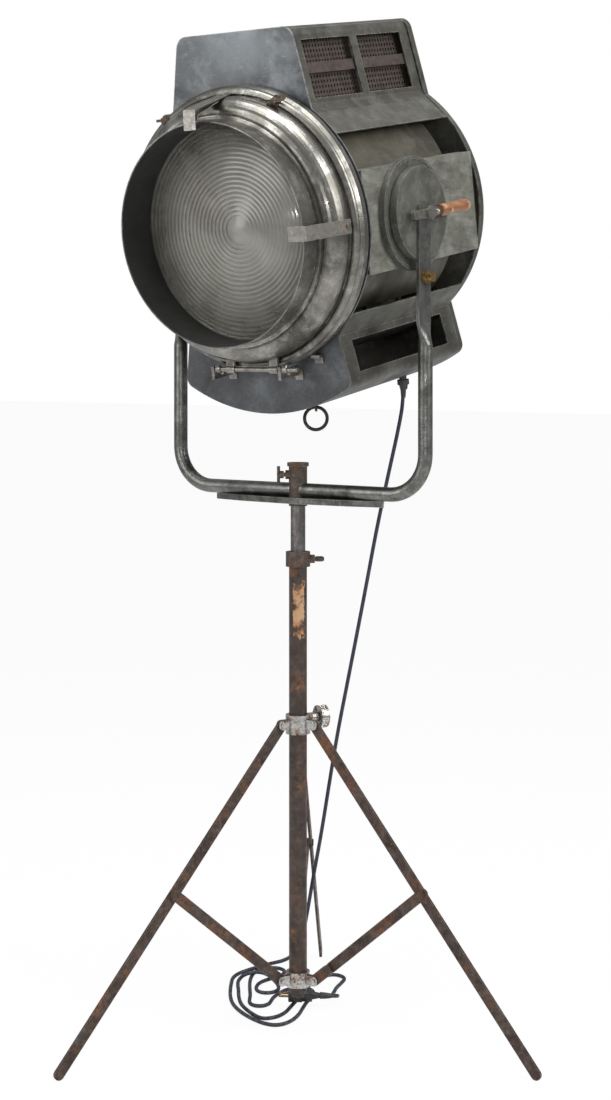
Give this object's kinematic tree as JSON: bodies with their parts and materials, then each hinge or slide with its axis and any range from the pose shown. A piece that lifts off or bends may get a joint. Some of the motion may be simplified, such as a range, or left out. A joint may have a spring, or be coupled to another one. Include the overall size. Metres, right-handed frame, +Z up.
{
  "type": "studio fresnel spotlight",
  "caption": "Studio spotlight with a stepped lens in a hinged ring door, vented drum housing in a tube yoke, on a telescoping mast with three folding braced legs.",
  "frame": {"origin": "point on the floor under the axis of the mast", "axes": "+Z up along the mast; +X along the yoke towards the tilt lever; the lens faces -Y"},
  "size_m": [0.8088, 0.891, 1.9437],
  "materials": {
    "plate_zinc": "dulled mottled sheet",
    "housing_paint": "worn olive grey",
    "housing_dark": "matt black inside",
    "drum_metal": "brown olive, scorched",
    "rusty_screen": "rusted steel",
    "ring_alloy": "old polish",
    "lens_glass": "stepped lens",
    "disc_steel": "worn grey",
    "bright_steel": "worn",
    "brass_old": "tarnished",
    "rust_iron": "rusted",
    "black_iron": "black",
    "grip_wood": "worn stain",
    "yoke_steel": "aged",
    "tube_steel": "aged",
    "tube_rust": "rusted tube",
    "collar_chrome": "pitted plating",
    "leg_steel": "rust freckled",
    "bulb_glass": "clear",
    "mirror_cup": "silvered",
    "socket_body": "glazed",
    "cord_rubber": "dark blue black",
    "plug_plastic": "moulded",
    "gland_black": "moulded"
  },
  "bodies": {
    "stand": {"mast_lower": "tube_rust", "mast_collar": "rust_iron", "foot_collar": "collar_chrome", "cord_drop": "cord_rubber", "cord_coil": "cord_rubber", "plug_body": "plug_plastic", "plug_pins": "brass_old"},
    "mast_clamp": {"mast_screw": "rust_iron"},
    "leg_slider": {"leg_collar": "collar_chrome"},
    "leg_clamp": {"leg_collar_knob": "collar_chrome"},
    "mast_top": {"mast_upper": "tube_steel", "mast_spigot": "bright_steel"},
    "yoke": {"yoke_frame": "yoke_steel", "yoke_saddle": "yoke_steel", "receiver": "rust_iron", "friction_discs": "disc_steel"},
    "yoke_clamp": {"receiver_bolt": "rust_iron"},
    "tilt_clamp": {"tilt_lever": "bright_steel", "lever_nuts": "bright_steel", "lever_grip": "grip_wood"},
    "scale_knob": {"brass_knob": "brass_old"},
    "head": {"housing_front_plate": "plate_zinc", "housing_rear_plate": "housing_paint", "hood_shell": "housing_paint", "vent_screens": "rusty_screen", "lamp_drum": "drum_metal", "inner_baffles": "housing_dark", "side_slabs": "housing_paint", "bottom_tray": "housing_paint", "pivot_discs": "disc_steel", "tilt_bolts": "bright_steel", "hinge_lugs": "bright_steel", "hinge_rod": "bright_steel", "focus_rails": "bright_steel", "terminal_block": "socket_body", "cable_gland": "gland_black", "pull_eye": "black_iron"},
    "lens_door": {"lens_door_ring": "ring_alloy", "fresnel_lens": "lens_glass", "lens_retainer": "ring_alloy", "accessory_clips": "bright_steel", "door_leaf": "bright_steel", "door_screws": "rust_iron", "screw_bosses": "rust_iron"},
    "clip_flap": {"clip_latch": "bright_steel"},
    "hanging_ring": {"pull_ring": "black_iron"},
    "focus_drive": {"lead_screw": "bright_steel", "focus_knob": "black_iron"},
    "carriage": {"focus_carriage": "disc_steel", "lamp_socket": "socket_body", "lamp_cap": "brass_old", "lamp_envelope": "bulb_glass", "reflector": "mirror_cup"},
    "leg_arm_1": {"leg_1": "leg_steel"},
    "brace_arm_1": {"brace_1": "leg_steel"},
    "leg_arm_2": {"leg_2": "leg_steel"},
    "brace_arm_2": {"brace_2": "leg_steel"},
    "leg_arm_3": {"leg_3": "leg_steel"},
    "brace_arm_3": {"brace_3": "leg_steel"}
  },
  "joints": [
    {"name": "leg_collar_slide", "type": "slide", "parent": "stand", "child": "leg_slider", "axis": [0, 0, 1], "range_m": [0, 0.1816], "deforming": ["cord_coil", "plug_body", "plug_pins"]},
    {"name": "leg_fold_1", "type": "hinge", "parent": "leg_slider", "child": "leg_arm_1", "pos_m": [-0.01714, 0.03017, 0.5905], "axis": [-0.8695, -0.4939, 0], "range_deg": [-0.5, 34.66]},
    {"name": "brace_fold_1", "type": "hinge", "parent": "stand", "child": "brace_arm_1", "pos_m": [-0.01753, 0.03087, 0.107], "axis": [0.8695, 0.4939, 0], "range_deg": [-0.5, 45.25]},
    {"name": "leg_fold_2", "type": "hinge", "parent": "leg_slider", "child": "leg_arm_2", "pos_m": [-0.01461, -0.03147, 0.5905], "axis": [0.907, -0.421, 0], "range_deg": [-0.5, 34.66]},
    {"name": "brace_fold_2", "type": "hinge", "parent": "stand", "child": "brace_arm_2", "pos_m": [-0.01495, -0.0322, 0.107], "axis": [-0.907, 0.421, 0], "range_deg": [-0.5, 45.25]},
    {"name": "leg_fold_3", "type": "hinge", "parent": "leg_slider", "child": "leg_arm_3", "pos_m": [0.03456, 0.00309, 0.5905], "axis": [-0.0889, 0.996, 0], "range_deg": [-0.5, 34.66]},
    {"name": "brace_fold_3", "type": "hinge", "parent": "stand", "child": "brace_arm_3", "pos_m": [0.03536, 0.00316, 0.107], "axis": [0.0889, -0.996, 0], "range_deg": [-0.5, 45.25]},
    {"name": "leg_clamp_turn", "type": "hinge", "parent": "leg_slider", "child": "leg_clamp", "pos_m": [0.02347, 0.04415, 0.6], "axis": [0.4695, 0.8829, 0], "range_deg": [0, 360]},
    {"name": "mast_clamp_turn", "type": "hinge", "parent": "stand", "child": "mast_clamp", "pos_m": [0.02457, 0.01721, 0.903], "axis": [0.8192, 0.5736, 0], "range_deg": [0, 360]},
    {"name": "mast_rise", "type": "slide", "parent": "stand", "child": "mast_top", "axis": [0, 0, 1], "range_m": [0, 0.48], "deforming": ["cord_drop"]},
    {"name": "yoke_pan", "type": "hinge", "parent": "mast_top", "child": "yoke", "pos_m": [0, 0, 1.04], "axis": [0, 0, 1], "range_deg": [-170, 170], "deforming": ["cord_drop"]},
    {"name": "yoke_clamp_turn", "type": "hinge", "parent": "yoke", "child": "yoke_clamp", "pos_m": [-0.02457, -0.01721, 1.063], "axis": [-0.8192, -0.5736, 0], "range_deg": [0, 360]},
    {"name": "head_tilt", "type": "hinge", "parent": "yoke", "child": "head", "pos_m": [0, 0, 1.55], "axis": [-1, 0, 0], "range_deg": [-50, 55], "deforming": ["cord_drop"]},
    {"name": "tilt_clamp_turn", "type": "hinge", "parent": "yoke", "child": "tilt_clamp", "pos_m": [0.29, 0, 1.55], "axis": [1, 0, 0], "range_deg": [-35, 60]},
    {"name": "scale_knob_turn", "type": "hinge", "parent": "yoke", "child": "scale_knob", "pos_m": [0.29, 0, 1.433], "axis": [1, 0, 0], "range_deg": [0, 360]},
    {"name": "lens_door_hinge", "type": "hinge", "parent": "head", "child": "lens_door", "pos_m": [0, -0.15238, 1.26428], "axis": [1, 0, 0], "range_deg": [0, 110]},
    {"name": "clip_flap_hinge", "type": "hinge", "parent": "lens_door", "child": "clip_flap", "pos_m": [0, -0.26871, 1.7429], "axis": [0, -0.4498, 0.8931], "range_deg": [-55, 55]},
    {"name": "ring_swing", "type": "hinge", "parent": "head", "child": "hanging_ring", "pos_m": [0, 0.0595, 1.1896], "axis": [0.8183, 0.5748, 0], "range_deg": [-60, 60]},
    {"name": "focus_turn", "type": "hinge", "parent": "head", "child": "focus_drive", "pos_m": [0, 0.28919, 1.40732], "axis": [0, 0.9866, 0.1633], "range_deg": [-2200, 1660]},
    {"name": "carriage_slide", "type": "slide", "parent": "head", "child": "carriage", "axis": [0, 0.9866, 0.1633], "range_m": [-0.072, 0.054]}
  ],
  "couplings": [
    {"joint": "leg_fold_1", "follows": "leg_collar_slide", "rad_per_m": 3.2831},
    {"joint": "brace_fold_1", "follows": "leg_collar_slide", "rad_per_m": 4.3008},
    {"joint": "leg_fold_2", "follows": "leg_collar_slide", "rad_per_m": 3.2831},
    {"joint": "brace_fold_2", "follows": "leg_collar_slide", "rad_per_m": 4.3008},
    {"joint": "leg_fold_3", "follows": "leg_collar_slide", "rad_per_m": 3.2831},
    {"joint": "brace_fold_3", "follows": "leg_collar_slide", "rad_per_m": 4.3008},
    {"joint": "focus_turn", "follows": "carriage_slide", "rad_per_m": 523.6}
  ]
}
